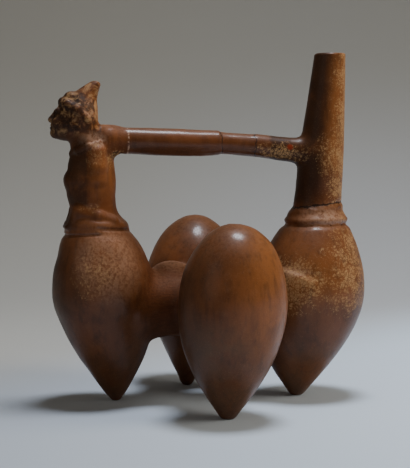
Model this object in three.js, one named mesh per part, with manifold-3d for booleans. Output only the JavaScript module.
// A hand-built whistling vessel of burnished red-brown clay, fired in one piece. Four pods with
// pointed feet stand in a cross and open into each other through two thick tubes. The right
// pod carries the spout, the left pod carries a seated figure on its neck, and a round handle
// joins the two. Water that is tipped from pod to pod drives air up the figure and out through
// a hollow whistle ball behind its head. Millimetres and degrees, +Z up, the spout at +X, the
// figure at -X facing -X, and the front pod at -Y.

import * as THREE from "three";
import { mergeVertices } from "three/addons/utils/BufferGeometryUtils.js";
import Module from "manifold-3d";

const wasm = await Module();
wasm.setup();

// The clay wall, and how finely the round forms are faceted
const WALL = 4.5;
const ROUND_SEGMENTS = 28;
const TUBE_SEGMENTS = 16;
const CAVITY_SEGMENTS = 12;

// Feet: from the left to the right foot, from the front to the back one, and the share of
// each span that lies left of and in front of the middle of the cross
const SIDE_SPAN = 119;
const LEFT_SHARE = 0.4706;
const DEPTH_SPAN = 117.1;
const FRONT_SHARE = 0.573;

// The cross is hand-made, so its feet stand a little to one side of its arms
const LEFT_FOOT_BACK = 4;
const FRONT_FOOT_ASIDE = 2;
const BACK_FOOT_ASIDE = -1;

// Pods: largest radius, the height of that radius, and the height of the shoulder or top
const LEFT_POD_RADIUS = 33.7;
const LEFT_BELLY_HEIGHT = 64;
const LEFT_SHOULDER_HEIGHT = 111;
const RIGHT_POD_RADIUS = 36.6;
const RIGHT_BELLY_HEIGHT = 65.5;
const RIGHT_SHOULDER_HEIGHT = 113.5;
const FRONT_POD_RADIUS = 33.4;
const FRONT_BELLY_HEIGHT = 67.8;
const FRONT_POD_HEIGHT = 116.7;
const BACK_POD_RADIUS = 33.4;
const BACK_BELLY_HEIGHT = 67;
const BACK_POD_HEIGHT = 116.5;

// Pods: the flat at the foot, the round of the point, the clay above it, and the lean outward
// and to the side
const FOOT_RADIUS = 3;
const FOOT_ROUNDING = 6.5;
const FOOT_CLAY = 8;
const LEFT_LEAN = 5.8;
const LEFT_FORWARD_LEAN = 3.6;
const RIGHT_LEAN = 6.4;
const FRONT_LEAN = 2;
const FRONT_SIDE_LEAN = 1.9;
const BACK_LEAN = 8;
const BACK_SIDE_LEAN = 4.4;

// How full each pod's lower half is: 2 is a parabola, 1 is a plain cone
const LEFT_FULLNESS = 1.65;
const RIGHT_FULLNESS = 1.8;
const FRONT_FULLNESS = 2;
const BACK_FULLNESS = 1.4;

// Tubes between the pods; the back one runs a little higher and to the figure's side
const TUBE_RADIUS = 21.3;
const TUBE_HEIGHT = 62;
const TUBE_FLARE = 5;
const TUBE_FLARE_LENGTH = 8;
const BACK_TUBE_RADIUS = 20;
const BACK_TUBE_RISE = 5;
const BACK_TUBE_OFFSET = 7;
const BACK_TUBE_CROSS_OFFSET = 21;

// Spout
const RIM_HEIGHT = 224;
const RIM_RADIUS = 10;
const RIM_ROUNDING = 0.8;
const SPOUT_WALL = 3.6;
const SPOUT_BASE_RADIUS = 15.8;
const SPOUT_LEAN = 4.7;
const SPOUT_TAPER_POWER = 1.3;

// Collar between the right pod and the spout
const COLLAR_HEIGHT = 11;
const COLLAR_RADIUS = 20.6;
const RIGHT_NECK_RADIUS = 19.8;

// The figure's body, which is the left pod's hollow neck
const LEFT_NECK_RADIUS = 19.4;
const BASE_RING_RADIUS = 20.5;
const BASE_RING_HEIGHT = 3.2;
const WAIST_RADIUS = 15.1;
const WAIST_HEIGHT = 124.5;
const BELLY_RADIUS = 16.4;
const BELLY_HEIGHT = 141;
const CHEST_RADIUS = 14.6;
const CHEST_HEIGHT = 154;
const NECK_RADIUS = 9;
const NECK_HEIGHT = 164;
const BODY_SHIFT = 4.6;
const BODY_SHIFT_START = 98;
const BODY_SHIFT_LENGTH = 27;
const BODY_WALL = 5;
const BODY_CAVITY_TOP = 148;

// The figure's limbs
const ARM_RADIUS = 4.2;
const SHOULDER_HEIGHT = 156;
const ELBOW_HEIGHT = 140;
const HAND_HEIGHT = 143.5;
const THIGH_RADIUS = 5;
const HIP_HEIGHT = 122.5;
const KNEE_HEIGHT = 126;
const SHIN_RADIUS = 4.2;
const ANKLE_HEIGHT = 114;
const LIMB_SINK = 2.2;

// The figure's head and cap
const HEAD_HEIGHT = 179;
const HEAD_OFFSET = 11.5;
const HEAD_HALF_LENGTH = 14;
const HEAD_HALF_WIDTH = 11.5;
const HEAD_HALF_HEIGHT = 14;
const HEAD_TILT = 14;
const CREST_TIP_HEIGHT = 204.6;
const CREST_TIP_RADIUS = 2.6;
const CREST_BASE_RADIUS = 13;
const CREST_START = 2.5;
const CREST_SWEEP = 16.3;
const CREST_TAPER_POWER = 1.6;
const CREST_SWEEP_POWER = 1.9;
const BOSS_RADIUS = 5;
const BOSS_OFFSET = 1;
const BOSS_RISE = 11;
const NAPE_OFFSET = 6;
const HOOD_OFFSET = 5.2;
const HOOD_RISE = 3.5;
const HOOD_HALF_SIZES = [9.5, 12, 13.5];
const ROLL_RADIUS = 3.3;

// Handle
const HANDLE_RADIUS = 8.5;
const HANDLE_THIN_RADIUS = 7.6;
const HANDLE_END_RADIUS = 9;
const HANDLE_HEIGHT = 166;
const HANDLE_BREAK = 9;
const HANDLE_BREAK_LENGTH = 8;
const HANDLE_DROP = 5.5;

// Whistle ball at the handle's left end
const BALL_RADIUS = 11;
const BALL_CAVITY_RADIUS = 7.5;
const BALL_OFFSET = 11.5;
const SOUND_HOLE_RADIUS = 3.1;
const SOUND_HOLE_TILT = 38;
const WINDWAY_RADIUS = 1.4;

const radians = THREE.MathUtils.degToRad;
const slope = (degrees) => Math.tan(radians(degrees));
const clamp01 = (value) => Math.min(1, Math.max(0, value));
const ease = (value) => clamp01(value) ** 2 * (3 - 2 * clamp01(value));
const mix = (from, to, share) => from + (to - from) * share;

// Solids

function solidOf(geometry) {
  const bare = geometry.clone();
  bare.deleteAttribute("normal");
  bare.deleteAttribute("uv");
  const merged = mergeVertices(bare, 1e-4);
  const build = (triVerts) =>
    new wasm.Manifold(
      new wasm.Mesh({
        numProp: 3,
        vertProperties: new Float32Array(merged.attributes.position.array),
        triVerts,
      }),
    );
  const triVerts = new Uint32Array(merged.index.array);
  const solid = build(triVerts);
  if (solid.volume() >= 0) return solid;
  for (let i = 0; i < triVerts.length; i += 3) {
    [triVerts[i + 1], triVerts[i + 2]] = [triVerts[i + 2], triVerts[i + 1]];
  }
  return build(triVerts);
}

function geometryOf(solid) {
  const mesh = solid.getMesh();
  const geometry = new THREE.BufferGeometry();
  geometry.setAttribute("position", new THREE.BufferAttribute(mesh.vertProperties, mesh.numProp));
  geometry.setIndex(new THREE.BufferAttribute(mesh.triVerts, 1));
  const flat = geometry.toNonIndexed();
  flat.computeVertexNormals();
  return flat;
}

const union = (solids) => solids.reduce((whole, solid) => whole.add(solid));

// A solid turned about +Z from a profile of [radius, height] pairs, closed onto the axis.
function turned(profile, segments) {
  const points = profile.map(([radius, height]) => new THREE.Vector2(radius, height));
  const bottom = points[0];
  const top = points[points.length - 1];
  if (bottom.x > 0) points.unshift(new THREE.Vector2(0, bottom.y));
  if (top.x > 0) points.push(new THREE.Vector2(0, top.y));
  return new THREE.LatheGeometry(points, segments).rotateX(Math.PI / 2);
}

// Moves each vertex by what shift(x, y, z) returns.
function moved(geometry, shift) {
  const position = geometry.attributes.position;
  for (let i = 0; i < position.count; i += 1) {
    const [x, y, z] = [position.getX(i), position.getY(i), position.getZ(i)];
    const [dx, dy, dz] = shift(x, y, z);
    position.setXYZ(i, x + dx, y + dy, z + dz);
  }
  return geometry;
}

function ellipsoid(centre, halfSizes, columns, rows) {
  return new THREE.SphereGeometry(1, columns, rows).scale(...halfSizes).translate(...centre);
}

// A rod with round ends from one point to another.
function rod(from, to, radius, columns) {
  const start = new THREE.Vector3(...from);
  const along = new THREE.Vector3(...to).sub(start);
  const turn = new THREE.Quaternion().setFromUnitVectors(
    new THREE.Vector3(0, 1, 0),
    along.clone().normalize(),
  );
  const middle = start.addScaledVector(along, 0.5);
  return new THREE.CapsuleGeometry(radius, along.length(), 2, columns)
    .applyQuaternion(turn)
    .translate(middle.x, middle.y, middle.z);
}

// Pods

const pods = {
  left: {
    foot: [-SIDE_SPAN * LEFT_SHARE, LEFT_FOOT_BACK, 0],
    radius: LEFT_POD_RADIUS,
    belly: LEFT_BELLY_HEIGHT,
    top: LEFT_SHOULDER_HEIGHT,
    neck: LEFT_NECK_RADIUS,
    fullness: LEFT_FULLNESS,
    lean: [-slope(LEFT_LEAN), -slope(LEFT_FORWARD_LEAN)],
  },
  right: {
    foot: [SIDE_SPAN * (1 - LEFT_SHARE), 0, 0],
    radius: RIGHT_POD_RADIUS,
    belly: RIGHT_BELLY_HEIGHT,
    top: RIGHT_SHOULDER_HEIGHT,
    neck: RIGHT_NECK_RADIUS,
    fullness: RIGHT_FULLNESS,
    lean: [slope(RIGHT_LEAN), 0],
  },
  front: {
    foot: [FRONT_FOOT_ASIDE, -DEPTH_SPAN * FRONT_SHARE, 0],
    radius: FRONT_POD_RADIUS,
    belly: FRONT_BELLY_HEIGHT,
    top: FRONT_POD_HEIGHT,
    neck: 0,
    fullness: FRONT_FULLNESS,
    lean: [slope(FRONT_SIDE_LEAN), -slope(FRONT_LEAN)],
  },
  back: {
    foot: [BACK_FOOT_ASIDE, DEPTH_SPAN * (1 - FRONT_SHARE), 0],
    radius: BACK_POD_RADIUS,
    belly: BACK_BELLY_HEIGHT,
    top: BACK_POD_HEIGHT,
    neck: 0,
    fullness: BACK_FULLNESS,
    lean: [slope(BACK_SIDE_LEAN), slope(BACK_LEAN)],
  },
};

// The middle of a pod at a height above the table.
function podMiddle(pod, height) {
  const rise = height - pod.foot[2];
  return [pod.foot[0] + pod.lean[0] * rise, pod.foot[1] + pod.lean[1] * rise, height];
}

// The pod's own outline, or its cavity's where inset is the wall.
function podProfile(pod, inset, rings) {
  const bottom = inset > 0 ? pod.foot[2] + FOOT_CLAY : pod.foot[2];
  const radius = pod.radius - inset;
  const profile = [];
  for (let i = 0; i <= rings; i += 1) {
    const height = mix(bottom, pod.belly, 1 - (1 - i / rings) ** 1.25);
    const share = (pod.belly - height) / (pod.belly - bottom);
    const wide = radius * (1 - share ** pod.fullness);
    profile.push([Math.hypot(wide, FOOT_RADIUS * share), height]);
    // a ring that rounds the point, so that the foot is blunt
    if (i === 0 && inset === 0) {
      const ringHeight = FOOT_ROUNDING / 2;
      profile.push([Math.sqrt(FOOT_ROUNDING ** 2 - ringHeight ** 2), bottom + ringHeight]);
    }
  }
  const top = pod.neck > 0 ? pod.top : pod.top - inset;
  for (let i = 1; i <= rings; i += 1) {
    const share = pod.neck > 0 ? i / rings : Math.sin((i / rings) * (Math.PI / 2));
    const height = mix(pod.belly, top, share);
    const closed = radius * Math.sqrt(1 - share ** 2);
    const open = radius - (radius - (pod.neck - inset)) * share ** 2;
    profile.push([pod.neck > 0 ? open : closed, height]);
  }
  return profile;
}

function leaned(geometry, pod) {
  return moved(geometry, (x, y, z) => {
    const [middleX, middleY] = podMiddle(pod, z);
    return [middleX, middleY, 0];
  });
}

// The spout and its collar carry on from the right pod's shoulder, about the spout's own axis.
const collarBottom = RIGHT_SHOULDER_HEIGHT;
const collarTop = collarBottom + COLLAR_HEIGHT;

function spoutMiddle(height) {
  if (height <= collarBottom) return podMiddle(pods.right, height)[0];
  return podMiddle(pods.right, collarBottom)[0] + (height - collarBottom) * slope(SPOUT_LEAN);
}

function spoutRadius(height) {
  const share = clamp01((height - collarTop) / (RIM_HEIGHT - collarTop));
  return mix(SPOUT_BASE_RADIUS, RIM_RADIUS, share ** SPOUT_TAPER_POWER);
}

function rightOutline() {
  const outline = podProfile(pods.right, 0, 6);
  const collarRings = 3;
  for (let i = 0; i <= collarRings; i += 1) {
    const share = i / collarRings;
    const height = mix(collarBottom + 0.6, collarTop, share);
    outline.push([mix(COLLAR_RADIUS, SPOUT_BASE_RADIUS, 1 - (1 - share) ** 1.6), height]);
  }
  const spoutRings = 4;
  for (let i = 1; i < spoutRings; i += 1) {
    const height = mix(collarTop, RIM_HEIGHT - RIM_ROUNDING, i / spoutRings);
    outline.push([spoutRadius(height), height]);
  }
  outline.push([RIM_RADIUS, RIM_HEIGHT - RIM_ROUNDING]);
  outline.push([RIM_RADIUS - RIM_ROUNDING, RIM_HEIGHT]);
  return outline;
}

function rightCavityOutline() {
  const outline = podProfile(pods.right, WALL, 4);
  outline.push([SPOUT_BASE_RADIUS - SPOUT_WALL, collarTop]);
  outline.push([spoutRadius(HANDLE_HEIGHT) - SPOUT_WALL, HANDLE_HEIGHT]);
  const aboveRim = RIM_HEIGHT + 1;
  outline.push([RIM_RADIUS - SPOUT_WALL, aboveRim]);
  return outline;
}

const onSpoutAxis = (x, y, z) => [spoutMiddle(z), 0, 0];

// The figure's body, about the left pod's axis below the shoulder and its own above it

function bodyMiddle(height) {
  const [x, y] = podMiddle(pods.left, Math.min(height, LEFT_SHOULDER_HEIGHT));
  return [x - BODY_SHIFT * ease((height - BODY_SHIFT_START) / BODY_SHIFT_LENGTH), y];
}

const bodyTop = bodyMiddle(NECK_HEIGHT);

const ringTop = LEFT_SHOULDER_HEIGHT + BASE_RING_HEIGHT;

function bodyOutline() {
  const curve = new THREE.SplineCurve(
    [
      [BASE_RING_RADIUS, ringTop],
      [mix(BASE_RING_RADIUS, WAIST_RADIUS, 0.75), mix(ringTop, WAIST_HEIGHT, 0.5)],
      [WAIST_RADIUS, WAIST_HEIGHT],
      [BELLY_RADIUS, BELLY_HEIGHT],
      [CHEST_RADIUS, CHEST_HEIGHT],
      [NECK_RADIUS, NECK_HEIGHT],
    ].map(([radius, height]) => new THREE.Vector2(radius, height)),
  );
  const outline = curve.getPoints(8).map((point) => [point.x, point.y]);
  return [[BASE_RING_RADIUS, LEFT_SHOULDER_HEIGHT + 0.6], ...outline];
}

function bodyCavityOutline() {
  return [
    [WAIST_RADIUS - BODY_WALL, WAIST_HEIGHT],
    [BELLY_RADIUS - BODY_WALL, BELLY_HEIGHT],
    [CHEST_RADIUS - BODY_WALL, BODY_CAVITY_TOP],
  ];
}

const onBodyAxis = (x, y, z) => [...bodyMiddle(z), 0];

function leftOutline() {
  return [...podProfile(pods.left, 0, 6), ...bodyOutline()];
}

function leftCavityOutline() {
  return [...podProfile(pods.left, WALL, 4), ...bodyCavityOutline()];
}

// A point on the figure's body: angle 0 faces forward, which is -X, and 90 is its own side.
function onBody(degrees, height, radius, side) {
  const angle = radians(degrees);
  const [x, y] = bodyMiddle(height);
  return [x - Math.cos(angle) * radius, y + side * Math.sin(angle) * radius, height];
}

function limbs() {
  const made = [];
  const columns = 7;
  for (const side of [-1, 1]) {
    const armDepth = BELLY_RADIUS + ARM_RADIUS - LIMB_SINK - ARM_RADIUS / 2;
    const shoulder = onBody(100, SHOULDER_HEIGHT, CHEST_RADIUS - LIMB_SINK, side);
    const elbow = onBody(95, ELBOW_HEIGHT, armDepth - LIMB_SINK, side);
    const hand = onBody(18, HAND_HEIGHT, armDepth - LIMB_SINK, side);
    made.push(rod(shoulder, elbow, ARM_RADIUS, columns), rod(elbow, hand, ARM_RADIUS, columns));
    const legDepth = WAIST_RADIUS;
    const hip = onBody(100, HIP_HEIGHT, legDepth - LIMB_SINK, side);
    const knee = onBody(38, KNEE_HEIGHT, legDepth - LIMB_SINK, side);
    const ankle = onBody(24, ANKLE_HEIGHT, legDepth, side);
    made.push(rod(hip, knee, THIGH_RADIUS, columns), rod(knee, ankle, SHIN_RADIUS, columns));
  }
  return made;
}

// Head and cap

const headMiddle = [bodyTop[0] - HEAD_OFFSET, bodyTop[1], HEAD_HEIGHT];

// Places a form that is modelled about the head's middle, facing -X, at the head's tilt.
function onHead(geometry) {
  return geometry.rotateY(radians(HEAD_TILT)).translate(...headMiddle);
}

function head() {
  const [long, wide, tall] = [HEAD_HALF_LENGTH, HEAD_HALF_WIDTH, HEAD_HALF_HEIGHT];
  const forms = [
    ellipsoid([0, 0, tall * 0.1], [long, wide, tall * 0.9], 12, 7),
    ellipsoid([-long * 0.35, 0, -tall * 0.55], [long * 0.55, wide * 0.72, tall * 0.45], 10, 6),
    // nose, lips and brow
    rod([-long * 0.93, 0, tall * 0.16], [-long * 1.02, 0, -tall * 0.16], wide * 0.15, 8),
    ellipsoid([-long * 0.86, 0, -tall * 0.47], [long * 0.1, wide * 0.28, tall * 0.09], 6, 4),
    ellipsoid([-long * 0.84, 0, tall * 0.3], [long * 0.1, wide * 0.62, tall * 0.1], 6, 4),
  ];
  for (const side of [-1, 1]) {
    const eye = [-long * 0.84, side * wide * 0.36, tall * 0.08];
    const ear = [-long * 0.02, side * wide * 0.95, -tall * 0.02];
    forms.push(
      ellipsoid(eye, [long * 0.08, wide * 0.18, tall * 0.09], 6, 4),
      ellipsoid(ear, [long * 0.22, wide * 0.16, tall * 0.3], 8, 5),
    );
  }
  return forms.map(onHead);
}

function cap() {
  const baseHeight = HEAD_HEIGHT + HEAD_HALF_HEIGHT * 0.1;
  const tipHeight = CREST_TIP_HEIGHT;
  const profile = [];
  const rings = 4;
  for (let i = 0; i <= rings; i += 1) {
    const share = i / rings;
    const radius = mix(CREST_BASE_RADIUS, CREST_TIP_RADIUS, share ** CREST_TAPER_POWER);
    profile.push([radius, mix(baseHeight, tipHeight, share)]);
  }
  const crest = moved(turned(profile, 12).scale(1, 0.85, 1), (x, y, z) => {
    const share = clamp01((z - baseHeight) / (tipHeight - baseHeight)) ** CREST_SWEEP_POWER;
    return [headMiddle[0] + mix(CREST_START, CREST_SWEEP, share), headMiddle[1], 0];
  });
  const bossMiddle = [headMiddle[0] + BOSS_OFFSET, headMiddle[1], HEAD_HEIGHT + BOSS_RISE];
  const boss = ellipsoid(bossMiddle, [BOSS_RADIUS, BOSS_RADIUS * 1.1, BOSS_RADIUS], 8, 5);
  const nape = rod(
    [headMiddle[0] + NAPE_OFFSET, headMiddle[1], HEAD_HEIGHT + BOSS_RISE / 3],
    [bodyTop[0], bodyTop[1], CHEST_HEIGHT],
    NECK_RADIUS,
    12,
  );
  const hoodMiddle = [headMiddle[0] + HOOD_OFFSET, headMiddle[1], HEAD_HEIGHT + HOOD_RISE];
  const hood = ellipsoid(hoodMiddle, HOOD_HALF_SIZES, 10, 6);
  const rollFront = [headMiddle[0] - HEAD_HALF_LENGTH * 0.4, headMiddle[1], HEAD_HEIGHT + BOSS_RISE];
  const rolls = [-1, 1].map((side) => {
    const ear = [
      headMiddle[0] + HEAD_HALF_LENGTH * 0.15,
      headMiddle[1] + side * (HEAD_HALF_WIDTH - ROLL_RADIUS / 2),
      HEAD_HEIGHT + BOSS_RISE / 2,
    ];
    return rod(rollFront, ear, ROLL_RADIUS, 8);
  });
  return [crest, boss, nape, hood, ...rolls];
}

// Handle and whistle

const ballMiddle = [bodyTop[0] + BALL_OFFSET, bodyTop[1], HANDLE_HEIGHT];

// A point on the sound hole's axis, below the ball on the handle's side.
function belowBall(distance) {
  const tilt = radians(SOUND_HOLE_TILT);
  return [
    ballMiddle[0] + distance * Math.sin(tilt),
    ballMiddle[1],
    ballMiddle[2] - distance * Math.cos(tilt),
  ];
}

function handleHeight(x) {
  const end = spoutMiddle(HANDLE_HEIGHT);
  const share = clamp01((x - HANDLE_BREAK) / (end - HANDLE_BREAK));
  return HANDLE_HEIGHT - HANDLE_DROP * share ** 1.15;
}

function handleRadius(x) {
  const end = spoutMiddle(HANDLE_HEIGHT) - SPOUT_BASE_RADIUS;
  const thin = ease((x - HANDLE_BREAK) / HANDLE_BREAK_LENGTH + 0.5);
  const flare = clamp01((x - HANDLE_BREAK) / (end - HANDLE_BREAK)) ** 3;
  return mix(HANDLE_RADIUS, mix(HANDLE_THIN_RADIUS, HANDLE_END_RADIUS, flare), thin);
}

function handle() {
  const from = ballMiddle[0];
  const to = spoutMiddle(HANDLE_HEIGHT);
  const rings = 9;
  const profile = [];
  for (let i = 0; i <= rings; i += 1) {
    const x = mix(from, to, i / rings);
    profile.push([handleRadius(x), x]);
  }
  const straight = turned(profile, 14).rotateY(Math.PI / 2);
  const aside = (x) => ballMiddle[1] * clamp01((to - x) / (to - from));
  return moved(straight, (x) => [0, aside(x), handleHeight(x)]);
}

// Tubes

// A tube from a pod's middle to the middle of the cross, flared where it leaves the pod.
function tube(from, to, radius, podRadius, inset, segments) {
  const start = new THREE.Vector3(...from);
  const along = new THREE.Vector3(...to).sub(start);
  const flareStart = Math.sqrt(podRadius ** 2 - (radius + TUBE_FLARE) ** 2) - 2;
  const profile = [[radius - inset, 0]];
  const rings = inset > 0 ? 0 : 3;
  for (let i = 1; i <= rings; i += 1) {
    const share = (i - 1) / (rings - 1);
    const distance = mix(flareStart, podRadius + TUBE_FLARE_LENGTH, share);
    profile.push([radius + TUBE_FLARE * (1 - share) ** 2, distance]);
  }
  profile.push([radius - inset, along.length() + radius / 5]);
  profile.push([(radius - inset) * 0.6, along.length() + radius * 0.7]);
  const turn = new THREE.Quaternion().setFromUnitVectors(
    new THREE.Vector3(0, 0, 1),
    along.normalize(),
  );
  return turned(profile, segments).applyQuaternion(turn).translate(...from);
}

function tubes(inset, segments) {
  const middle = [0, 0, TUBE_HEIGHT];
  const left = podMiddle(pods.left, TUBE_HEIGHT);
  const right = podMiddle(pods.right, TUBE_HEIGHT);
  const front = podMiddle(pods.front, TUBE_HEIGHT);
  const back = podMiddle(pods.back, TUBE_HEIGHT + BACK_TUBE_RISE);
  back[0] -= BACK_TUBE_OFFSET;
  const backEnd = [-BACK_TUBE_CROSS_OFFSET, 0, TUBE_HEIGHT + BACK_TUBE_RISE];
  return [
    tube(left, middle, TUBE_RADIUS, LEFT_POD_RADIUS, inset, segments),
    tube(right, middle, TUBE_RADIUS, RIGHT_POD_RADIUS, inset, segments),
    tube(front, middle, TUBE_RADIUS, FRONT_POD_RADIUS, inset, segments),
    tube(back, backEnd, BACK_TUBE_RADIUS, BACK_POD_RADIUS, inset, segments),
  ];
}

// The whole vessel

function outside() {
  const forms = [
    moved(turned(leftOutline(), ROUND_SEGMENTS), onBodyAxis),
    moved(turned(rightOutline(), ROUND_SEGMENTS), onSpoutAxis),
    leaned(turned(podProfile(pods.front, 0, 6), ROUND_SEGMENTS), pods.front),
    leaned(turned(podProfile(pods.back, 0, 6), ROUND_SEGMENTS), pods.back),
    ...tubes(0, TUBE_SEGMENTS),
    ...limbs(),
    ...head(),
    ...cap(),
    ellipsoid(ballMiddle, [BALL_RADIUS, BALL_RADIUS, BALL_RADIUS], 12, 8),
    handle(),
  ];
  return union(forms.map(solidOf));
}

function inside() {
  const reach = CHEST_RADIUS - BODY_WALL - 2 * WINDWAY_RADIUS;
  const windwayStart = [bodyTop[0] + reach, bodyTop[1], BODY_CAVITY_TOP - WINDWAY_RADIUS];
  const windwayEnd = belowBall(BALL_CAVITY_RADIUS + WINDWAY_RADIUS);
  const forms = [
    moved(turned(leftCavityOutline(), CAVITY_SEGMENTS), onBodyAxis),
    moved(turned(rightCavityOutline(), CAVITY_SEGMENTS), onSpoutAxis),
    leaned(turned(podProfile(pods.front, WALL, 4), CAVITY_SEGMENTS), pods.front),
    leaned(turned(podProfile(pods.back, WALL, 4), CAVITY_SEGMENTS), pods.back),
    ...tubes(WALL, CAVITY_SEGMENTS),
    ellipsoid(ballMiddle, [BALL_CAVITY_RADIUS, BALL_CAVITY_RADIUS, BALL_CAVITY_RADIUS], 8, 5),
    rod(ballMiddle, belowBall(2 * BALL_RADIUS), SOUND_HOLE_RADIUS, 12),
    rod(windwayStart, windwayEnd, WINDWAY_RADIUS, 8),
  ];
  return union(forms.map(solidOf));
}

const solid = outside().subtract(inside());

const clay = new THREE.MeshStandardMaterial({ color: 0x7a4a30, roughness: 0.45, metalness: 0 });
const vessel = new THREE.Mesh(geometryOf(solid), clay);
vessel.name = "vessel";

// The frame's origin is under the middle of the vessel, on the table.
const box = solid.boundingBox();
vessel.position.set(-(box.min[0] + box.max[0]) / 2, -(box.min[1] + box.max[1]) / 2, -box.min[2]);

const whistlingVessel = new THREE.Group();
whistlingVessel.add(vessel);

export default whistlingVessel;
